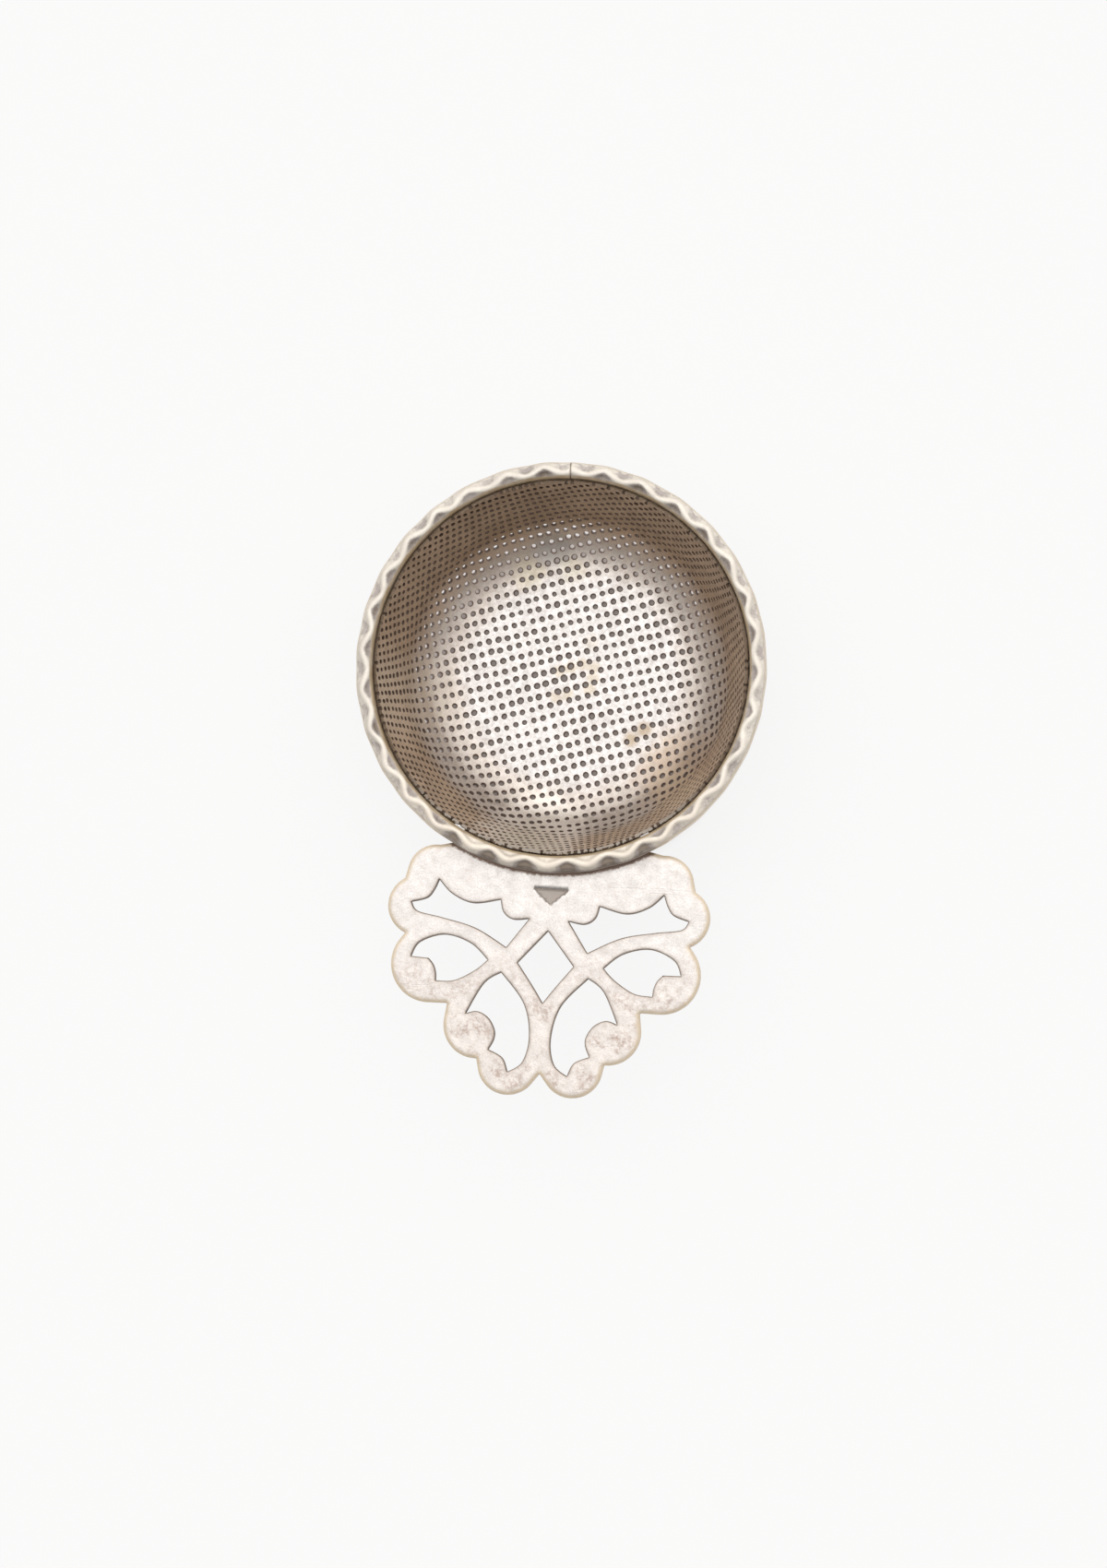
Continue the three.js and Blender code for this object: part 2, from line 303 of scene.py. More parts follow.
def disc_outlines(centres, radii):
    """Points and edges of the holes, of the rolls round them and of the disc's rim."""
    points, edges = [], []
    steps = TURN * np.arange(HOLE_SIDES) / HOLE_SIDES
    for centre, radius in zip(centres, radii):
        turn = rng.uniform(0, TURN)
        oval = 1 + HOLE_OVAL * np.cos(2 * (steps + turn * 3))
        for grown in (0, ROLL):
            edges += loop_edges(len(points), HOLE_SIDES)
            ring = (radius * oval + grown)[:, None] * on_circle(steps + turn)
            points += (centre + ring).tolist()
    edges += loop_edges(len(points), RIM_STEPS)
    points += (SHEET_RADIUS * on_circle(TURN * np.arange(RIM_STEPS) / RIM_STEPS)).tolist()
    return points, edges


def punched_disc(centres, radii):
    """The flat disc's points and triangles, without the metal that was punched out."""
    points, edges = disc_outlines(centres, radii)
    inside = np.hypot(*centres.T) < SHEET_RADIUS - RIM_MARGIN
    half_step = np.array([math.cos(GRID_TURN), math.sin(GRID_TURN)]) * ROW_STEP / 2
    half_column = np.array([-math.sin(GRID_TURN), math.cos(GRID_TURN)]) * COLUMN_STEP / 2
    points += (centres[inside] + half_step + half_column).tolist()
    flat, triangles = triangulate(points, edges)
    triangles = counter_clockwise(flat, triangles)
    middles = flat[triangles].mean(axis=1)
    hole = nearest_hole(middles, centres)
    away = np.linalg.norm(middles - centres[hole], axis=1)
    chord = math.cos(math.pi / HOLE_SIDES)
    past_hole = away > radii[hole] * chord + HOLE_MARGIN
    within_rim = np.hypot(*middles.T) < SHEET_RADIUS * RIM_SHARE
    return flat, without_chips(triangles[past_hole & within_rim])


def bowl_sheet():
    """The pressed sheet's mesh: its inside, outside, hole walls and cut rim."""
    centres, radii = punched_holes()
    flat, triangles = punched_disc(centres, radii)
    count = len(flat)
    hole = nearest_hole(flat, centres)
    offset = flat - centres[hole]
    away = np.linalg.norm(offset, axis=1)
    on_edge = away < radii[hole] * EDGE_REACH + EDGE_SLACK
    on_edge_rows = on_edge[:, None]
    narrowed = np.where(on_edge_rows, centres[hole] + offset * TAPER, flat)
    top = pressed(flat, np.where(on_edge, SHEET - ROLL_DEPTH, SHEET))
    under = pressed(narrowed, np.where(on_edge, UNDER_ROLL_DEPTH, 0.0))

    normals = pressed_normals(flat)
    into_hole = -offset / np.maximum(away, TINY)[:, None]
    inward = unit(pressed(flat + into_hole * NORMAL_STEP, SHEET) - pressed(flat, SHEET))
    top_normals = np.where(on_edge_rows, unit(normals + ROLL_LEAN * inward), normals)
    under_normals = np.where(on_edge_rows, unit(-normals + UNDER_ROLL_LEAN * inward), -normals)

    from_middle = np.hypot(*flat.T)
    outward = flat / np.maximum(from_middle, TINY)[:, None]
    along_rim = np.stack([-outward[:, 1], outward[:, 0], np.zeros(count)], axis=1)
    past_edge = np.cross(along_rim, normals)
    border = border_of(triangles)
    at_rim = (from_middle[border] > SHEET_RADIUS - AT_RIM).all(axis=1)
    wall_normals = np.where(at_rim[:, None, None], past_edge[border], inward[border])
    corner_normals = np.concatenate([
        top_normals[triangles].reshape(-1, 3),
        under_normals[triangles[:, ::-1]].reshape(-1, 3),
        wall_normals[:, [1, 0, 0, 1]].reshape(-1, 3),
    ])
    looks = np.concatenate([
        np.full(len(triangles), INSIDE),
        np.full(len(triangles), OUTSIDE),
        np.where(at_rim, CUT_RIM, HOLE_WALL),
    ])
    faces, used = slab_faces(triangles, border, count)
    hole_edge = np.concatenate([on_edge, on_edge])
    return np.concatenate([top, under])[used], faces, looks, corner_normals, hole_edge[used]


# The border wire

WAVES = 31.54  # the crest's bends don't meet at the seam
FIRST_BEND = 0.17
ROWS_PER_WAVE = 28
WIRE_SIDES = 44
SEAM_GAP = 0.065  # from the seam's middle to each end of the wire
BEND_SCATTER = 0.05
DEPTH_SCATTER = 0.14
BEND_SHARPNESS = 0.95  # 1 would make the crest a zigzag of straight lines
CREST_MIDDLE = -0.13  # across the wire, in half widths
CREST_SWING = 0.42
CREST_FLAT = 0.16
SLOPE_REACH = 0.5
SLOPE_DROP = 0.4
SLOPE_SHARE = 0.3  # of the drop, where the crest bends that way
SCALLOP = 0.1
WAIST = 0.42 * WIRE_HEIGHT
TOP_CORNER, FOOT_CORNER = 0.8, 0.6  # powers that square the section's sides
TOP_CROWN, FOOT_CROWN = 0.42, 0.8  # and its top and foot
SEAM_WIDTH = 0.12
SEAM_SIDES = 34
SEAM_SLICES = 5
SEAM_REACH = 0.9
SEAM_HEIGHT = 0.95 * WIRE_HEIGHT
SEAM_CURVE = 0.03


def wire_section(theta):
    """The plain wire's section, as across, up, and whether the point is on its upper side."""
    cos, sin = np.cos(theta), np.sin(theta)
    top = sin > 1e-9
    across = WIRE_WIDTH / 2 * np.sign(cos) * np.abs(cos) ** np.where(top, TOP_CORNER, FOOT_CORNER)
    rise = (WIRE_HEIGHT - WAIST) * np.abs(sin) ** TOP_CROWN
    up = WAIST + np.where(top, rise, -WAIST * np.abs(sin) ** FOOT_CROWN)
    return across, up, top


def crest_wave(angle):
    """The crest's swing along the wire, from -1 to 1, and the depth of its hollows."""
    bends = rng.normal(0, BEND_SCATTER, int(WAVES) + 3)
    depths = 1 + rng.normal(0, DEPTH_SCATTER, 2 * int(WAVES) + 6)
    cycle = angle * WAVES / TURN
    phase = TURN * (cycle - FIRST_BEND + np.interp(cycle, np.arange(len(bends)), bends))
    wave = -np.arcsin(BEND_SHARPNESS * np.cos(phase)) / math.asin(BEND_SHARPNESS)
    depth = np.interp(2 * cycle, np.arange(len(depths)), depths)
    return wave[:, None], depth[:, None]


def wire_dirt_and_shade(direction, place, crest, depth, outer, bend_in, bend_out):
    """Dirt in the hollows, painted shade on the outer side by the handle, and warm worn edges."""
    by_handle = smooth((-np.sin(direction) - 0.8) / 0.12)
    rounding = 1 - smooth((np.abs(place) - 0.8) / 0.15)
    in_pit = np.exp(-(((crest - place - 0.62) / 0.4) ** 4)) * bend_out**1.7 * (1 - 0.7 * by_handle)
    out_pit = np.exp(-(((place - crest - 0.78) / 0.42) ** 4)) * bend_in**1.5
    hollow_dirt_and_shade = depth * (1.1 * in_pit + 0.7 * out_pit) * rounding
    # Painted shade: the outer slopes and outer edge by the handle are darkened.
    hollow_dirt_and_shade += by_handle * (0.95 * outer * bend_in + 0.9 * smooth((place - 0.8) / 0.18))
    worn_inside = smooth((-place - 0.6) / 0.2)
    worn_outside = 0.6 * (1 - by_handle) * smooth((place - 0.72) / 0.18)
    return hollow_dirt_and_shade, np.where(place < 0, worn_inside, worn_outside)


def border_wire():
    """A wire whose crest zigzags along its top, with a dimple on each side of every bend."""
    rows = int(WAVES * ROWS_PER_WAVE) + 1
    ends = SEAM_GAP / WIRE_RADIUS
    angle = np.linspace(ends, TURN - ends, rows)
    wave, depth = crest_wave(angle)
    theta = TURN * np.arange(WIRE_SIDES) / WIRE_SIDES
    across, up, top = wire_section(theta)
    place = across / (WIRE_WIDTH / 2)
    crest = CREST_MIDDLE + CREST_SWING * wave
    inner = np.where(top, smooth((crest - place - CREST_FLAT) / SLOPE_REACH), 0)
    outer = np.where(top, smooth((place - crest - CREST_FLAT) / SLOPE_REACH), 0)
    bend_in, bend_out = smooth((1 - wave) / 2), smooth((1 + wave) / 2)
    inner_share = SLOPE_SHARE + (1 - SLOPE_SHARE) * bend_out
    outer_share = SLOPE_SHARE + (1 - SLOPE_SHARE) * bend_in
    sunk = SLOPE_DROP * depth * (inner * inner_share + outer * outer_share)
    scallop = SCALLOP * (1 - wave) / 2 * np.clip(np.cos(theta), 0, 1) ** 2

    crown = np.where(top, np.sin(theta), 0) ** 2
    along = angle[:, None] * 33 + 0 * across
    aside = theta * 1.2 + 0 * along
    x = across - scallop + 0.03 * ripple(along, aside, 21, 3.1) * crown
    z = up - sunk + (0.02 * ripple(along, aside, 22, 4.3) - 0.03) * crown
    z = np.clip(z, 0, WIRE_HEIGHT)
    direction = (angle + math.pi / 2)[:, None]
    radius = WIRE_RADIUS + x
    points = np.stack([radius * np.cos(direction), radius * np.sin(direction), WIRE_FOOT + z], axis=2)
    faces = [face[::-1] for face in tube_faces(rows, WIRE_SIDES)]
    hollow_dirt_and_shade, worn = wire_dirt_and_shade(direction, place, crest, depth, outer, bend_in, bend_out)
    values = {"hollow_dirt_and_shade": np.where(top, hollow_dirt_and_shade, 0).ravel(), "worn_edge": worn.ravel()}
    return points.reshape(-1, 3), faces, values


def seam():
    """The thin wall of solder between the wire's two ends."""
    theta = TURN * np.arange(SEAM_SIDES) / SEAM_SIDES
    across, up, _ = wire_section(theta)
    x, z = SEAM_REACH * across, np.minimum(up, SEAM_HEIGHT)
    points = []
    for side in np.linspace(-SEAM_WIDTH / 2, SEAM_WIDTH / 2, SEAM_SLICES):
        swell = 1 - SEAM_CURVE * (2 * side / SEAM_WIDTH) ** 2
        lifted = WIRE_FOOT + np.clip(z * swell, 0.02, None)
        points += np.stack([side + 0 * x, WIRE_RADIUS + x * swell, lifted], axis=1).tolist()
    return points, tube_faces(SEAM_SLICES, SEAM_SIDES)




# The handle: a flat cast and pierced plate

LOBES = [  # each lobe's centre, its radius and the notch after it
    ((18.9, -34.8), 4.75, (24.0, -35.8)),
    ((21.6, -40.2), 5.0, (23.5, -44.75)),
    ((19.15, -49.65), 6.4, (15.9, -56.0)),
    ((10.8, -59.3), 5.5, (10.55, -64.8)),
    ((5.3, -65.45), 5.0, (0.0, -66.75)),
]
FIRST_LOBE_START = math.radians(95)
UNDER_WIRE = (16.0, -29.5)  # where the outline goes in under the border wire
UPPER_PIERCING = [
    [(22.9, -40.2), (20.4, -39.4), (19.3, -38.0), (18.6, -36.2)],
    [(18.6, -36.2), (16.3, -38.4), (12.7, -39.7), (8.2, -38.8)],
    [(8.2, -38.8), (7.6, -40.8), (5.9, -41.9), (3.3, -41.6)],
    [(3.3, -41.6), (6.7, -46.5)],
    [(6.7, -46.5), (12.0, -43.7), (17.5, -42.4), (21.8, -41.6), (22.9, -40.2)],
]
LEAF_PIERCING = [
    [(9.6, -48.8), (12.6, -46.3), (17.0, -45.2), (21.0, -46.7), (22.3, -49.1)],
    [(22.3, -49.1), (19.4, -49.2)],
    [(19.4, -49.2), (18.5, -50.2), (18.0, -51.5), (17.9, -52.8)],
    [(17.9, -52.8), (14.8, -52.5), (11.5, -50.6), (9.6, -48.8)],
]
LOWER_PIERCING = [
    [(7.2, -50.7), (9.9, -52.7), (12.5, -57.8)],
    [(12.5, -57.8), (10.7, -57.3), (8.8, -58.2), (7.6, -60.0), (7.5, -61.6), (8.3, -63.4)],
    [(8.3, -63.4), (5.9, -64.6), (4.9, -66.8)],
    [(4.9, -66.8), (2.6, -65.0), (1.8, -60.8), (3.1, -55.5), (7.2, -50.7)],
]
DIAMOND_PIERCING = [
    [(0, -43.4), (4.6, -48.9)],
    [(4.6, -48.9), (1.8, -52.6), (0, -55.2)],
    [(0, -55.2), (-1.8, -52.6), (-4.6, -48.9)],
    [(-4.6, -48.9), (0, -43.4)],
]
TRIANGLE = [(-3.0, -36.4), (0, -39.1), (3.0, -36.4)]
TRIANGLE_DEPTH = 0.65
RECESS_FLOOR = 0.965  # the recess's floor, against its mouth
RECESS_MIDDLE = 0.98  # halfway down its sides
PATTERN_TURN = math.radians(-1.3)
PATTERN_MIDDLE = np.array([0.14, -50])
SPACING = 0.27  # between points on the outlines
TRIANGLE_SPACING = 0.3
LOBE_STEPS = 24  # points for each radian of a lobe
SPLINE_STEPS = 24
INNER_EDGE_GAP = 0.15  # between the handle's inner edge and the bowl's wall
INNER_EDGE_STEPS = 60
EDGE_ROWS = (0.05, 0.12, 0.22, 0.4, 0.7)  # rows of points beside every edge
GRID_SPACING = 0.62
GRID_CLEARANCE = 0.75  # from the grid's points to an edge
CLEARANCE_SHARE = 0.93
TRIANGLE_CLEARANCE = 0.12
OUTER_ROUND, OUTER_DROP = 0.75, 0.5  # each edge's reach and drop
PIERCED_ROUND, PIERCED_DROP = 0.34, 0.24
UNDER_ROUND, UNDER_DROP = 0.3, 0.25
TOP_CLEARANCE, UNDER_CLEARANCE = 0.06, 0.05  # from the plate's full thickness to its faces
PLATE_TOP, PIERCING_WALL, OUTER_WALL = range(3)


def wall_radius(height):
    """The radius of the bowl's outside wall at a height."""
    mouth = FLAT_RADIUS + CORNER_RADIUS * math.sin(WALL_ANGLE) + WALL_LENGTH * math.cos(WALL_ANGLE)
    return mouth - (BOWL_HEIGHT - height) / math.tan(WALL_ANGLE)


def spaced(line, spacing, closed=False):
    """The same line with evenly spaced points, up to but not with its last."""
    line = np.asarray(line, float)
    if closed:
        line = np.concatenate([line, line[:1]])
    length = np.concatenate([[0], np.cumsum(np.linalg.norm(np.diff(line, axis=0), axis=1))])
    count = max(2, int(round(length[-1] / spacing)))
    at = np.linspace(0, length[-1], count + 1)[:-1]
    return np.stack([np.interp(at, length, line[:, k]) for k in range(2)], axis=1)


def spline(points):
    """A uniform Catmull-Rom curve through points."""
    p = np.asarray(points, float)
    last = len(p) - 1
    t = np.linspace(0, 1, SPLINE_STEPS)[:-1, None]
    line = []
    for k in range(last):
        a, b, c, d = p[max(k - 1, 0)], p[k], p[k + 1], p[min(k + 2, last)]
        v0, v1 = (c - a) / 2, (d - b) / 2
        cubic, square = 2 * b - 2 * c + v0 + v1, -3 * b + 3 * c - 2 * v0 - v1
        line.append(cubic * t**3 + square * t**2 + v0 * t + b)
    return np.concatenate([*line, p[-1:]])


def on_pattern(points):
    """Points of the handle's pattern, which is turned a little against its outline."""
    cos, sin = math.cos(PATTERN_TURN), math.sin(PATTERN_TURN)
    x, y = (np.asarray(points, float) - PATTERN_MIDDLE).T
    return PATTERN_MIDDLE + np.stack([x * cos - y * sin, x * sin + y * cos], axis=1)


def piercing(runs, side):
    """One piercing's outline from the runs between its corners, mirrored where side is -1."""
    lines = [spline([(side * x, y) for x, y in run]) for run in runs]
    return np.concatenate([spaced(on_pattern(line), SPACING) for line in lines])


def tangent_angle(centre, radius, notch, turn):
    """Where a line from the notch touches the lobe's circle, on the side that turn says."""
    away = np.array(notch) - centre
    return math.atan2(away[1], away[0]) + turn * math.acos(min(1, radius / np.hypot(*away)))


def lobe_outline():
    """The right side's five lobes, from under the wire to the notch at the handle's tip."""
    points = [UNDER_WIRE]
    start = FIRST_LOBE_START
    for k, (centre, radius, notch) in enumerate(LOBES):
        centre = np.array(centre)
        span = (start - tangent_angle(centre, radius, notch, 1)) % TURN
        turn = start - np.linspace(0, span, int(span * LOBE_STEPS))
        points += (centre + radius * on_circle(turn)).tolist()
        points.append(notch)
        if k + 1 < len(LOBES):
            next_centre, next_radius, _ = LOBES[k + 1]
            start = tangent_angle(np.array(next_centre), next_radius, notch, -1)
    return np.array(points)


def handle_outlines():
    """The plate's outline and then its seven piercings' outlines."""
    inner = wall_radius(HANDLE_TOP) + INNER_EDGE_GAP
    arc = -math.pi / 2 + np.linspace(-HANDLE_ARC, HANDLE_ARC, INNER_EDGE_STEPS)
    lobes = lobe_outline()
    outline = np.concatenate([inner * on_circle(arc), lobes, lobes[:-1][::-1] * [-1, 1]])
    loops = [spaced(outline, SPACING, closed=True)]
    for side in (1, -1):
        loops += [piercing(runs, side) for runs in (UPPER_PIERCING, LEAF_PIERCING, LOWER_PIERCING)]
    return [*loops, piercing(DIAMOND_PIERCING, 1)]


def inside_loop(points, loop):
    x, y = points[:, 0], points[:, 1]
    inside = np.zeros(len(points), bool)
    for a, b in zip(loop, np.roll(loop, -1, axis=0)):
        if a[1] != b[1]:
            crosses = (a[1] > y) != (b[1] > y)
            inside ^= crosses & (x < (b[0] - a[0]) * (y - a[1]) / (b[1] - a[1]) + a[0])
    return inside


def in_plate(points, loops):
    """Whether points are inside the first loop and outside all the others."""
    inside = inside_loop(points, loops[0])
    for loop in loops[1:]:
        inside &= ~inside_loop(points, loop)
    return inside


def edge_distance(points, loops):
    """Distance from points to the nearest of the loops' edges."""
    best = np.full(len(points), np.inf)
    for loop in loops:
        for a, b in zip(loop, np.roll(loop, -1, axis=0)):
            run = b - a
            t = np.clip(((points - a) @ run) / (run @ run), 0, 1)
            gap = points - a - t[:, None] * run
            best = np.minimum(best, np.einsum("ij,ij->i", gap, gap))
    return np.sqrt(best)


def inner_points(loops, triangle):
    """Points inside the plate: rows beside its edges, and a grid further in."""
    rows = []
    for loop in loops:
        ahead = unit(np.roll(loop, -1, axis=0) - np.roll(loop, 1, axis=0))
        normal = np.stack([-ahead[:, 1], ahead[:, 0]], axis=1)
        for off in EDGE_ROWS:
            for sign in (1, -1):
                rows.append(np.column_stack([loop + sign * off * normal, np.full(len(loop), off)]))
    low, high = loops[0].min(axis=0), loops[0].max(axis=0)
    x, y = np.meshgrid(*(np.arange(low[k], high[k], GRID_SPACING) for k in range(2)))
    x = x + GRID_SPACING / 2 * (np.arange(x.shape[0]) % 2)[:, None]
    grid = np.column_stack([x.ravel(), y.ravel(), np.full(x.size, GRID_CLEARANCE)])
    found = np.concatenate([*rows, grid])
    found = found[in_plate(found[:, :2], loops)]
    found = found[edge_distance(found[:, :2], loops) > CLEARANCE_SHARE * found[:, 2]]
    return found[edge_distance(found[:, :2], [triangle]) >= TRIANGLE_CLEARANCE][:, :2]


def flat_plate(loops, triangle):
    """The plate's points and triangles in the plane, with the recess's edges among them."""
    recess = spaced(triangle, TRIANGLE_SPACING, closed=True)
    middle = triangle.mean(axis=0)
    points, edges = [], []
    for line in (*loops, recess, middle + (recess - middle) * RECESS_FLOOR):
        edges += loop_edges(len(points), len(line))
        points += line.tolist()
    points += inner_points(loops, triangle).tolist()
    flat, triangles = triangulate(points, edges)
    triangles = counter_clockwise(flat, triangles)
    triangles = triangles[in_plate(flat[triangles].mean(axis=1), loops)]
    return flat, triangles, inside_loop(flat, middle + (recess - middle) * RECESS_MIDDLE)


def rounded(away, radius, drop):
    """How far a rounded edge has dropped at a distance from it."""
    t = np.clip(1 - away / radius, 0, 1)
    return drop * (1 - np.sqrt(np.maximum(0, 1 - t**2)))


def handle_casting():
    """The handle's mesh, and how near each point is to the edges and the recess."""
    loops = handle_outlines()
    flat, triangles, in_recess = flat_plate(loops, on_pattern(TRIANGLE))
    from_outside, from_piercing = edge_distance(flat, loops[:1]), edge_distance(flat, loops[1:])
    distance = np.minimum(from_outside, from_piercing)
    x, y = flat[:, 0], flat[:, 1]

    crown = 0.06 * np.exp(-from_outside / 1.2)
    wobble = 0.03 * ripple(x, y, 31, 5) + 0.02 * ripple(x, y, 32, 2)
    top = HANDLE_TOP - TOP_CLEARANCE - crown + wobble
    outer_drop = rounded(from_outside, OUTER_ROUND, OUTER_DROP)
    top -= outer_drop + rounded(from_piercing, PIERCED_ROUND, PIERCED_DROP)
    top = np.where(in_recess, HANDLE_TOP - TRIANGLE_DEPTH, top)
    under = HANDLE_FOOT + UNDER_CLEARANCE + rounded(distance, UNDER_ROUND, UNDER_DROP)
    under += 0.02 * ripple(x, y, 33, 6)

    border = border_of(triangles)
    faces, used = slab_faces(triangles, border, len(flat))
    points = np.concatenate([np.column_stack([flat, top]), np.column_stack([flat, under])])
    pierced = (from_piercing[border] < 0.01).all(axis=1)
    plate_looks = np.full(2 * len(triangles), PLATE_TOP)
    looks = np.concatenate([plate_looks, np.where(pierced, PIERCING_WALL, OUTER_WALL)])
    near = {
        "edge": np.exp(-from_outside / 0.8) + 0.3 * np.exp(-from_piercing / 0.45),
        "middle": 1 - np.exp(-distance / 0.8),
        "pierced_edge": np.exp(-from_piercing / 0.25),
    }
    values = {name: np.concatenate([value, value])[used] for name, value in near.items()}
    values["recess"] = np.concatenate([in_recess, np.zeros(len(flat), bool)])[used]
    return points[used], faces, looks, values


# Solder fillets

SOLDER_ARC = 0.54  # half the gap that the rim's solder leaves at the handle
SOLDER_LEG = 1.1
SOLDER_LEAST, SOLDER_MOST = 0.5, 0.98  # of the leg
SOLDER_STEPS = 64  # for each radian
SOLDER_ENDS = 0.03  # radians in which a fillet swells from its ends
WALL_CLEARANCE = 0.06


def fillet(top, start, end, seed):
    """A fillet against the bowl's wall, under something at a height, between two angles."""
    angle = np.linspace(start, end, int((end - start) * SOLDER_STEPS) + 1)
    along, level = angle * 31, 0 * angle
    uneven = 0.86 + 0.1 * ripple(along, level, seed, 9) / 2 + 0.04 * ripple(along, level, seed + 1, 3)
    size = np.clip(SOLDER_LEG * uneven, SOLDER_LEAST * SOLDER_LEG, SOLDER_MOST * SOLDER_LEG)
    from_end = np.minimum(angle - start, end - angle)
    size *= np.clip(from_end / SOLDER_ENDS, 0.15, 1) ** 0.5
    curve = np.linspace(0, math.pi / 2, 7)
    out, down = 1 - np.sin(curve), 1 - np.cos(curve)
    rows = []
    for scale, a in zip(size, angle):
        x = np.concatenate([[-0.04], scale * out])
        z = np.concatenate([[-0.02], -scale * down])
        radius = wall_radius(top) + WALL_CLEARANCE + x + z / math.tan(WALL_ANGLE)
        rows.append(np.stack([radius * math.cos(a), radius * math.sin(a), top + z], axis=1))
    return np.concatenate(rows), tube_faces(len(rows), len(rows[0]))


# Materials


def add_node(tree, kind, values=None, **settings):
    """A node whose inputs are linked to sockets or set to values."""
    made = tree.nodes.new("ShaderNode" + kind)
    for key, value in settings.items():
        setattr(made, key, value)
    for key, value in (values or {}).items():
        if isinstance(value, bpy.types.NodeSocket):
            tree.links.new(value, made.inputs[key])
        else:
            made.inputs[key].default_value = value
    return made


class Look:
    """A node material, built from calls that take sockets or values. A share is from 0 to 1."""

    def __init__(self, name):
        self.material = bpy.data.materials.new(name)
        self.material.use_nodes = True
        self.tree = self.material.node_tree
        self.tree.nodes.clear()
        self.place = self.node("TexCoord").outputs["Object"]

    def node(self, kind, values=None, **settings):
        return add_node(self.tree, kind, values, **settings)

    def axes(self):
        """The place's X, Y and Z in metres."""
        parts = self.node("SeparateXYZ", {0: self.place}).outputs
        return parts["X"], parts["Y"], parts["Z"]

    def flat_length(self, vector):
        """A vector's length seen from above."""
        flat = self.node("VectorMath", {0: vector, 1: (1, 1, 0)}, operation="MULTIPLY")
        length = self.node("VectorMath", {0: flat.outputs[0]}, operation="LENGTH")
        return length.outputs["Value"]

    def noise(self, size_mm, detail, rough, stretch=(1, 1, 1), shift=0.0):
        """Noise of a feature size, stretched along the axes and moved to a place of its own."""
        where = self.place
        if stretch != (1, 1, 1) or shift:
            values = {"Vector": where, "Scale": stretch, "Location": (shift, shift * 0.7, -shift)}
            where = self.node("Mapping", values).outputs[0]
        values = {"Vector": where, "Scale": 1 / (size_mm * MM), "Detail": detail, "Roughness": rough}
        return self.node("TexNoise", values).outputs["Fac"]

    def math(self, operation, a, b):
        return self.node("Math", {0: a, 1: b}, operation=operation).outputs[0]

    def plus(self, a, b):
        return self.math("ADD", a, b)

    def minus(self, a, b):
        return self.math("SUBTRACT", a, b)

    def times(self, a, b):
        return self.math("MULTIPLY", a, b)

    def greater(self, a, b):
        return self.math("MAXIMUM", a, b)

    def band(self, value, low, high, to_low=0.0, to_high=1.0):
        """A smooth step from one number to another as a value goes from low to high."""
        values = {"Value": value, "From Min": low, "From Max": high, "To Min": to_low, "To Max": to_high}
        return self.node("MapRange", values, interpolation_type="SMOOTHSTEP").outputs[0]

    def band_mm(self, value, low_mm, high_mm, to_low=0.0, to_high=1.0):
        """The same for a distance, between two in millimetres."""
        return self.band(value, low_mm * MM, high_mm * MM, to_low, to_high)

    def around(self, value, noise, spread):
        """A value that noise moves by up to half a spread each way."""
        return self.plus(value, self.times(self.minus(noise, 0.5), spread))

    def mix(self, share, a, b):
        a, b = ((*c, 1) if isinstance(c, tuple) else c for c in (a, b))
        return self.node("Mix", {0: share, 6: a, 7: b}, data_type="RGBA").outputs[2]

    def mottled(self, noise, low, high, first, second):
        """One colour that turns to another as noise goes from low to high."""
        return self.mix(self.band(noise, low, high), first, second)

    def blot(self, x_mm, y_mm, size_mm, edge_mm, wobble=None):
        """The share of a round patch, seen from above, with a soft and uneven edge."""
        values = {0: self.place, 1: (x_mm * MM, y_mm * MM, 0)}
        away = self.node("VectorMath", values, operation="SUBTRACT").outputs[0]
        length = self.flat_length(away)
        if wobble is not None:
            length = self.around(length, wobble, BLOT_WOBBLE * size_mm * MM)
        return self.band_mm(length, size_mm, size_mm + edge_mm, 1.0, 0.0)

    def value_of(self, name):
        """A number that the mesh has at each point."""
        return self.node("Attribute", attribute_name=name).outputs["Fac"]

    def scratches(self, strength):
        """Fine crossing hairlines, as a height."""
        first = self.noise(1.4, 3, 0.6, stretch=(1.0, 0.05, 1.0))
        second = self.noise(1.1, 3, 0.6, stretch=(0.06, 1.0, 1.0), shift=0.3)
        lines = self.greater(self.band(first, 0.62, 0.7), self.band(second, 0.64, 0.71))
        return self.times(lines, strength)

    def paint(self, share, color):
        """A share of a colour over the colour so far."""
        self.color = self.mix(share, self.color, color)

    def finish(self, metallic, roughness, relief, depth_mm, strength):
        values = {"Height": relief, "Distance": depth_mm * MM, "Strength": strength}
        normal = self.node("Bump", values).outputs[0]
        values = {"Base Color": self.color, "Metallic": metallic, "Roughness": roughness, "Normal": normal}
        surface = self.node("BsdfPrincipled", values)
        self.node("OutputMaterial", {"Surface": surface.outputs[0]})
        return self.material


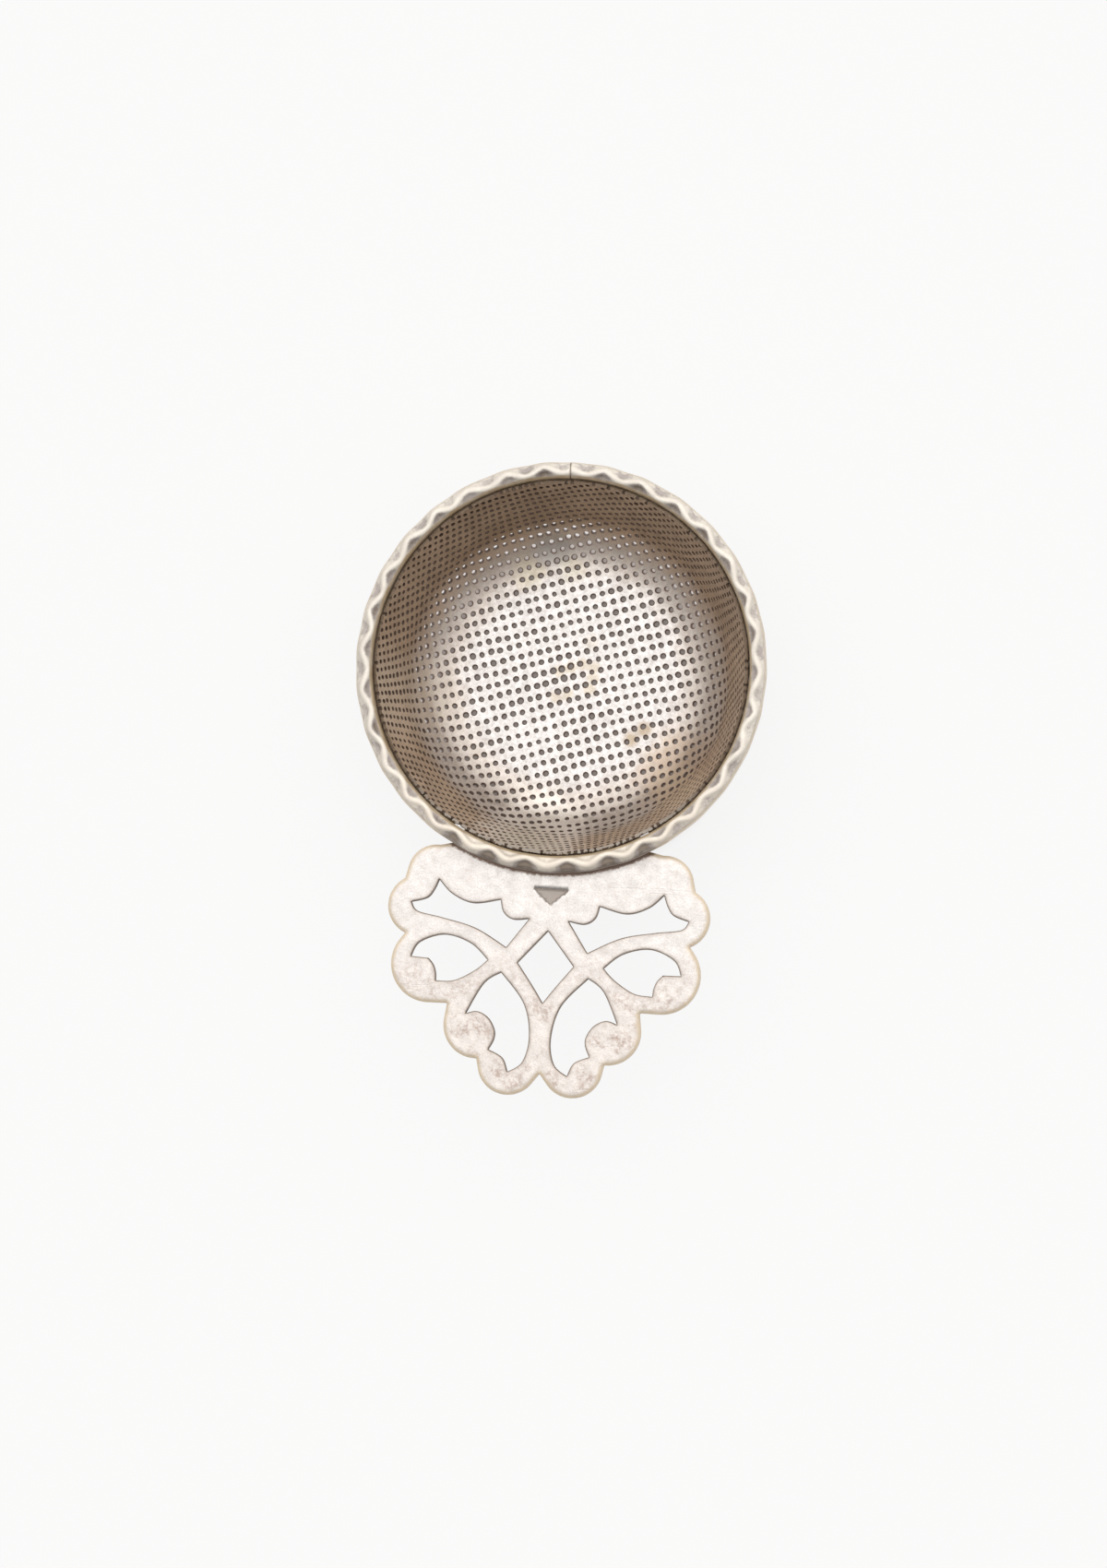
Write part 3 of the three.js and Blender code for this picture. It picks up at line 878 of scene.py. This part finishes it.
BLOT_WOBBLE = 2.2  # how far noise moves a patch's edge, against its size
# A blackish brown, for tarnished hole edges up the wall and for painted shade on the handle's side.
BLACK_TARNISH_AND_SHADE = (0.13, 0.09, 0.065)
# Painted shade: the holes are painted darker by the handle, and more on the right.
HANDLE_SIDE_SHADE_LEAN = 0.6  # the holes by the handle, and more on the right, are darker
STREAK = (0.62, 0.52, 0.37)
STREAK_PLACES = (
    (-2.3, 1.2), (-0.4, 1.9), (1.5, 2.6), (3.5, 2.2),
    (3.4, 0.3), (3.0, -1.6), (-2.6, -3.2), (-0.8, -2.6),
)
STAINS_AND_PAINTED_LIGHT = (  # x, y, size and soft edge in millimetres, then the share and the colour
    *((x, y, 0.5, 1.0, 0.55, STREAK) for x, y in STREAK_PLACES),
    (19.8, -15.6, 4.0, 6.5, 0.6, (0.58, 0.43, 0.31)),
    (12.6, -7.9, 0.5, 1.4, 0.7, (0.45, 0.33, 0.2)),
    (10.4, -9.8, 0.5, 1.5, 0.7, (0.48, 0.36, 0.22)),
    (2.8, 6.4, 0.5, 1.3, 0.3, STREAK),
    (-4.6, 21.8, 1.8, 2.5, 0.55, (0.5, 0.5, 0.49)),
    # Painted shade: a wide dark patch on the wall opposite the handle, to the left.
    (-14, 27, 7.0, 11.0, 0.2, (0.27, 0.185, 0.12)),
    (-8.5, 17.6, 1.6, 2.0, 0.45, (0.6, 0.54, 0.39)),
    (-1, 18.6, 1.2, 2.0, 0.4, (0.6, 0.54, 0.39)),
    (-27, -5, 3.0, 7.0, 0.4, (0.85, 0.75, 0.62)),
    (19.5, -18.5, 2.5, 3.5, 0.45, (0.85, 0.7, 0.53)),
    # Painted light: a near-white patch on the wall by the handle.
    (-4, -27.5, 5.5, 5.0, 0.65, (1.0, 0.94, 0.88)),
    (-5, -33.5, 4.0, 7.0, 0.4, (0.46, 0.4, 0.28)),
)


def towards_handle(look):
    """A distance that falls towards the handle's side of the bowl."""
    x, y, _ = look.axes()
    return look.minus(y, look.times(x, HANDLE_SIDE_SHADE_LEAN))


def bowl_inside():
    """Bright on the floor, beige round the corner and brown up the wall, which is partly tarnished silver
    and partly painted shade, and dark round each hole, with painted shade on the handle's side.
    """
    look = Look("bowl_inside_silver")
    _, y, height = look.axes()
    clouds = look.noise(6, 5, 0.6)
    fine = look.noise(0.5, 4, 0.65)
    specks = look.noise(0.22, 2, 0.5, shift=0.2)
    streaks = look.noise(2.2, 5, 0.65, shift=0.9)
    uneven = look.plus(look.times(clouds, 4 * MM), look.times(streaks, 5 * MM))
    uneven = look.minus(uneven, 4.5 * MM)
    reach = look.plus(look.flat_length(look.place), uneven)
    # Painted shade: climb grows with +Y, so the wall opposite the handle turns brown lower down.
    climb = look.plus(look.plus(height, uneven), look.times(y, 0.09))
    on_wall = look.band_mm(climb, 2.2, 8.8)

    silver = look.mottled(fine, 0.33, 0.68, (0.835, 0.81, 0.8), (0.65, 0.61, 0.595))
    beige = look.mottled(fine, 0.3, 0.7, (0.71, 0.645, 0.595), (0.58, 0.51, 0.46))
    brown = look.mottled(clouds, 0.35, 0.68, (0.485, 0.36, 0.255), (0.62, 0.47, 0.34))
    brown = look.mix(look.times(look.band(specks, 0.58, 0.68), 0.5), brown, (0.3, 0.2, 0.14))
    brown = look.mix(look.band(fine, 0.5, 0.62, 0.0, 0.35), brown, (0.76, 0.6, 0.48))
    # Silver, then beige round the corner and brown up the wall: partly a tarnished tone, partly painted
    # shade where the overhead reflection falls off past the floor.
    look.color = look.mix(look.band_mm(reach, 16.2, 21.2), silver, beige)
    look.paint(on_wall, brown)
    wobble = look.noise(2.2, 4, 0.6, shift=0.5)
    for x_mm, y_mm, size_mm, edge_mm, share, patch_colour in STAINS_AND_PAINTED_LIGHT:
        patch = look.times(look.blot(x_mm, y_mm, size_mm, edge_mm, wobble), share)
        look.paint(patch, patch_colour)

    hole_edge = look.value_of("hole_edge")
    high_up = look.band_mm(height, 5, 11)
    share_by_height = look.band_mm(height, 0.4, 3, 0.7, 0.93)
    # Painted shade: the hole edges turn darker towards the handle's side.
    share_by_side = look.band_mm(towards_handle(look), -10, 8, 0.96, 0.7)
    tarnish_and_shade = look.times(hole_edge, look.greater(share_by_height, share_by_side))
    look.paint(tarnish_and_shade, look.mix(high_up, (0.16, 0.11, 0.085), BLACK_TARNISH_AND_SHADE))

    rough = look.band(look.noise(1.6, 4, 0.6, shift=0.1), 0.3, 0.7, 0.3, 0.46)
    rough = look.plus(rough, look.times(on_wall, 0.1))
    rough = look.plus(rough, look.times(look.times(high_up, hole_edge), 0.25))
    metallic = look.band_mm(reach, 18.5, 23, 0.92, 0.7)
    metallic = look.times(metallic, look.minus(1.0, look.times(tarnish_and_shade, 0.8)))
    relief = look.plus(fine, look.scratches(-0.5))
    return look.finish(metallic, rough, relief, 0.02, 0.6)


def bowl_outside():
    """Cloudy silver with fine scratches."""
    look = Look("bowl_outside_silver")
    clouds = look.noise(7, 5, 0.6, shift=0.7)
    fine = look.noise(0.6, 4, 0.6)
    look.color = look.mottled(clouds, 0.35, 0.7, (0.72, 0.67, 0.6), (0.5, 0.42, 0.34))
    look.paint(look.times(look.band(fine, 0.5, 0.75), 0.5), (0.4, 0.32, 0.25))
    rough = look.band(clouds, 0.3, 0.7, 0.3, 0.48)
    relief = look.plus(fine, look.scratches(-0.6))
    return look.finish(0.92, rough, relief, 0.02, 0.6)


def hole_walls():
    """Brown and tarnished, blacker up the wall, and darker on the handle's side with painted shade."""
    look = Look("hole_wall_tarnish_and_shade")
    _, _, height = look.axes()
    fine = look.noise(0.35, 3, 0.6)
    patchy = look.noise(1.9, 3, 0.6, shift=0.4)
    look.color = look.mix(fine, (0.25, 0.175, 0.15), (0.48, 0.36, 0.31))
    look.paint(look.band(patchy, 0.48, 0.66), (0.6, 0.54, 0.52))
    # Painted shade: low down, the hole walls turn black towards the handle's side.
    share_by_side = look.band_mm(towards_handle(look), -10, 8, 0.9, 0.0)
    share_by_side = look.times(share_by_side, look.band_mm(height, 0.6, 2.2))
    tarnish_and_shade = look.greater(share_by_side, look.band_mm(height, 0.6, 5.5, 0.1, 0.95))
    look.paint(tarnish_and_shade, BLACK_TARNISH_AND_SHADE)
    rough = look.band(fine, 0.3, 0.7, 0.45, 0.65)
    return look.finish(0.35, rough, fine, 0.03, 0.6)


def cut_edge():
    """The cut rim: brown, paler by the handle, with a dark uneven line of painted shade round its outer
    edge, in the gap to the wire.
    """
    look = Look("cut_edge_tarnish")
    _, y, _ = look.axes()
    fine = look.noise(0.4, 4, 0.6)
    look.color = look.mottled(fine, 0.42, 0.62, (0.16, 0.115, 0.08), (0.28, 0.215, 0.16))
    look.paint(look.band_mm(y, -28, -16, 0.75, 0.0), (0.62, 0.57, 0.52))
    # Painted shade: the dark line along the gap between the cut rim and the wire.
    notches = look.around(look.flat_length(look.place), fine, 1.2 * MM)
    look.paint(look.band_mm(notches, 30.7, 30.9), (0.12, 0.08, 0.05))
    rough = look.band(fine, 0.3, 0.7, 0.45, 0.65)
    return look.finish(0.6, rough, fine, 0.05, 0.8)


def wire_silver():
    """Cream silver, with dirty grey hollows, painted shade by the handle and along its foot, and worn
    golden edges.
    """
    look = Look("border_wire_silver")
    _, y, height = look.axes()
    clouds = look.noise(3.5, 5, 0.6, shift=0.4)
    fine = look.noise(0.45, 4, 0.65)
    look.color = look.mottled(clouds, 0.35, 0.7, (0.9, 0.85, 0.77), (0.82, 0.76, 0.69))
    look.paint(look.times(look.band(fine, 0.5, 0.75), 0.3), (0.6, 0.52, 0.47))
    look.paint(look.band_mm(y, -28, -10, 0.6, 0.0), (0.88, 0.79, 0.68))
    dirt_and_shade = look.around(look.value_of("hollow_dirt_and_shade"), fine, 0.8)
    look.paint(look.band(dirt_and_shade, 0.15, 0.8, 0.0, 0.9), (0.41, 0.365, 0.35))
    # The dark brown stage takes the deepest pits and the painted shade by the handle.
    look.paint(look.band(dirt_and_shade, 0.8, 1.3, 0.0, 0.9), (0.24, 0.19, 0.15))
    golden = look.times(look.value_of("worn_edge"), look.band(clouds, 0.3, 0.6, 0.6, 0.95))
    look.paint(golden, (0.6, 0.47, 0.3))
    # Painted shade: darker brown along the wire's foot, where it meets the bowl.
    low_down = look.band_mm(height, 18.8, 20.2, 1.0, 0.0)
    look.paint(look.times(low_down, 0.8), (0.4, 0.29, 0.18))
    rough = look.band(look.noise(1.2, 4, 0.6), 0.3, 0.7, 0.3, 0.46)
    relief = look.plus(fine, look.scratches(-0.5))
    return look.finish(0.45, rough, relief, 0.03, 0.6)


def handle_silver():
    """Pale silver with warm rounded edges, mottled towards its tip, with painted shade along its piercings'
    edges, and dark where it meets the wire, a painted shadow of the wire.
    """
    look = Look("handle_silver")
    _, y, _ = look.axes()
    edge, recess = look.value_of("edge"), look.value_of("recess")
    clouds = look.noise(3.4, 5, 0.6)
    mottle = look.noise(0.75, 6, 0.7, shift=0.2)
    grain = look.noise(0.3, 3, 0.6, shift=0.6)
    near_tip = look.band_mm(y, -63, -40, 1.0, 0.0)
    look.color = look.mix(near_tip, (0.86, 0.83, 0.815), (0.84, 0.795, 0.765))
    look.paint(look.times(look.band(grain, 0.42, 0.62), 0.4), (0.66, 0.585, 0.545))
    spots = look.times(look.band(mottle, 0.38, 0.64), look.band(near_tip, 0.0, 1.0, 0.15, 1.0))
    spots = look.times(spots, look.band(clouds, 0.42, 0.58, 0.05, 1.0))
    look.paint(look.times(spots, look.value_of("middle")), (0.47, 0.36, 0.305))
    warm = look.band(look.around(edge, mottle, 0.5), 0.25, 0.8)
    look.paint(look.times(warm, 0.8), (0.84, 0.69, 0.49))
    # Dark brown on the piercings' rounded edges: partly tarnished, partly painted shade.
    pierced_edge = look.times(look.value_of("pierced_edge"), 0.95)
    look.paint(pierced_edge, (0.27, 0.185, 0.12))
    # Painted shadow: the wire's shadow on the plate, along the joint.
    from_axis = look.around(look.flat_length(look.place), mottle, 1.2 * MM)
    under_wire = look.band_mm(from_axis, 34.1, 34.6, 0.92, 0.0)
    look.paint(under_wire, (0.16, 0.1, 0.07))
    look.paint(look.times(recess, 0.85), (0.43, 0.37, 0.325))
    rough = look.band(look.noise(1.8, 4, 0.6), 0.3, 0.7, 0.34, 0.5)
    metallic = look.minus(0.88, look.times(look.greater(warm, recess), 0.7))
    relief = look.plus(look.plus(mottle, look.times(grain, 0.4)), look.scratches(-0.25))
    return look.finish(metallic, rough, relief, 0.07, 0.8)


def plain_tarnish(name, size_mm, first, second, roughness, metallic):
    """One colour, mottled with another."""
    look = Look(name)
    fine = look.noise(size_mm, 4, 0.6)
    look.color = look.mottled(fine, 0.35, 0.68, first, second)
    rough = look.band(fine, 0.3, 0.7, *roughness)
    return look.finish(metallic, rough, fine, 0.04, 0.7)


def solder_look():
    look = Look("solder_grey")
    fine = look.noise(0.5, 4, 0.65)
    lumps = look.noise(1.5, 4, 0.6, shift=0.3)
    look.color = look.mottled(lumps, 0.35, 0.65, (0.5, 0.44, 0.37), (0.27, 0.21, 0.16))
    rough = look.band(fine, 0.3, 0.7, 0.4, 0.65)
    return look.finish(0.75, rough, lumps, 0.08, 0.8)


# The pieces

solder = solder_look()

points, faces, face_looks, corner_normals, hole_edge = bowl_sheet()
bowl_looks = [bowl_inside(), bowl_outside(), hole_walls(), cut_edge()]
bowl = make_piece("bowl_sheet", points, faces, bowl_looks, face_looks, corner_normals)
add_values(bowl, {"hole_edge": hole_edge})
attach(bowl, "root")
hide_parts("strainer_bowl")

points, faces, values = border_wire()
wire = make_piece("border_wire", points, faces, [wire_silver()])
add_values(wire, values)
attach(wire, "root")
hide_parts("rim_wire")

points, faces = seam()
seam_piece = make_piece("seam_solder", points, faces, [solder])
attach(seam_piece, "root")
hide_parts("rim_seam_solder")

points, faces, face_looks, values = handle_casting()
handle_looks = [
    handle_silver(),
    # The piercings' near-black walls are partly tarnished, partly painted shade on the plate's thickness.
    plain_tarnish("piercing_wall_tarnish_and_shade", 0.6, (0.075, 0.045, 0.03), (0.17, 0.11, 0.075), (0.4, 0.6), 0.1),
    plain_tarnish("handle_outer_wall", 0.8, (0.5, 0.38, 0.25), (0.28, 0.2, 0.13), (0.35, 0.55), 0.6),
]
handle = make_piece("handle_casting", points, faces, handle_looks, face_looks)
add_values(handle, values)
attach(handle, "root")
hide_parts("handle")

points, faces = fillet(WIRE_FOOT, -math.pi / 2 + SOLDER_ARC, 1.5 * math.pi - SOLDER_ARC, 41)
wire_solder = make_piece("wire_solder", points, faces, [solder])
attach(wire_solder, "root")
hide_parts("rim_solder")

points, faces = fillet(HANDLE_FOOT, -math.pi / 2 - HANDLE_ARC, -math.pi / 2 + HANDLE_ARC, 47)
joint_solder = make_piece("handle_joint_solder", points, faces, [solder])
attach(joint_solder, "root")
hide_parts("handle_solder")

# The floor glows pale, and less and warmer in a soft patch where the bowl stands on it

FLOOR_SIZE = 4.0
FLOOR_GLOW = 0.847
BOWL_SHADE = 0.81
SHADE_MIDDLE_Y, SHADE_SIZE, SHADE_EDGE = -3, 21, 10  # in millimetres

half = FLOOR_SIZE / 2
floor_mesh = bpy.data.meshes.new("floor")
floor_corners = [(-half, -half, 0), (half, -half, 0), (half, half, 0), (-half, half, 0)]
floor_mesh.from_pydata(floor_corners, [], [(0, 1, 2, 3)])
floor = bpy.data.objects.new("floor", floor_mesh)
bpy.context.scene.collection.objects.link(floor)
pale = Look("pale_floor")
shade = pale.times(pale.blot(0, SHADE_MIDDLE_Y, SHADE_SIZE, SHADE_EDGE), BOWL_SHADE)
glow = pale.minus(1.0, shade)
surface = pale.node("BsdfPrincipled", {
    "Base Color": (0.12, 0.12, 0.12, 1),
    "Roughness": 0.9,
    "Specular IOR Level": 0.1,
    "Emission Color": pale.mix(glow, (1.0, 0.8, 0.7), (1.0, 1.0, 1.0)),
    "Emission Strength": pale.times(glow, FLOOR_GLOW),
})
pale.node("OutputMaterial", {"Surface": surface.outputs[0]})
floor_mesh.materials.append(pale.material)

# The light: a soft studio, dim at the horizon and bright overhead, and brighter behind

HORIZON = (0.27, 0.245, 0.215, 1)
OVERHEAD = (1.15, 1.13, 1.1, 1)
BEHIND = 0.75  # how much brighter it is behind

world = bpy.data.worlds.new("studio")
world.use_nodes = True
sky = world.node_tree
facing = add_node(sky, "TexCoord").outputs["Generated"]
parts = add_node(sky, "SeparateXYZ", {0: facing}).outputs
rise = add_node(sky, "MapRange", {"Value": parts["Z"]}, interpolation_type="SMOOTHSTEP")
tint = add_node(sky, "Mix", {0: rise.outputs[0], 6: HORIZON, 7: OVERHEAD}, data_type="RGBA")
lean = add_node(sky, "Math", {0: parts["Y"], 1: BEHIND, 2: 1.0}, operation="MULTIPLY_ADD")
sky.links.new(tint.outputs[2], sky.nodes["Background"].inputs["Color"])
sky.links.new(lean.outputs[0], sky.nodes["Background"].inputs["Strength"])
bpy.context.scene.world = world


def soft_light(name, place, target, size, radiance):
    """A square area light, as bright as a surface of that radiance."""
    data = bpy.data.lights.new(name, "AREA")
    data.shape = "SQUARE"
    data.size = size
    data.energy = radiance * math.pi * size * size
    light = bpy.data.objects.new(name, data)
    light.location = place
    light.rotation_euler = (Vector(target) - Vector(place)).to_track_quat("-Z", "Y").to_euler()
    bpy.context.scene.collection.objects.link(light)


soft_light("overhead_light", (-0.05, 0.12, 1.4), (0, 0, 0), 0.9, 0.35)

# The camera: almost straight above the bowl, leaning to the handle's right

DISTANCE = 0.65
TILT = math.radians(8.8)  # from straight above
TOWARDS = math.radians(-42)
ROLL_ANGLE = math.radians(3.2)
BOWL_POINT = Vector((0, 0, 0.0195))
AIM = Vector((-0.0001, -0.0193, 0.0195))
SENSOR_WIDTH = 36
FRAME_HEIGHT = 0.257  # what the frame's longer side takes in at the aim

camera_data = bpy.data.cameras.new("camera")
camera = bpy.data.objects.new("camera", camera_data)
bpy.context.scene.collection.objects.link(camera)
bpy.context.scene.camera = camera
lean_x, lean_y = math.sin(TILT) * math.cos(TOWARDS), math.sin(TILT) * math.sin(TOWARDS)
camera.location = BOWL_POINT + DISTANCE * Vector((lean_x, lean_y, math.cos(TILT)))
back = (camera.location - AIM).normalized()
right = Vector((math.sin(-ROLL_ANGLE), math.cos(ROLL_ANGLE), 0)).cross(back).normalized()
turned = Matrix((right, back.cross(right), back)).transposed().to_4x4()
camera.matrix_world = Matrix.Translation(camera.location) @ turned
camera_data.sensor_width = SENSOR_WIDTH
camera_data.lens = SENSOR_WIDTH * (camera.location - AIM).length / FRAME_HEIGHT
camera_data.clip_start = 0.05
camera_data.clip_end = 20

bpy.context.scene.view_settings.view_transform = "Standard"
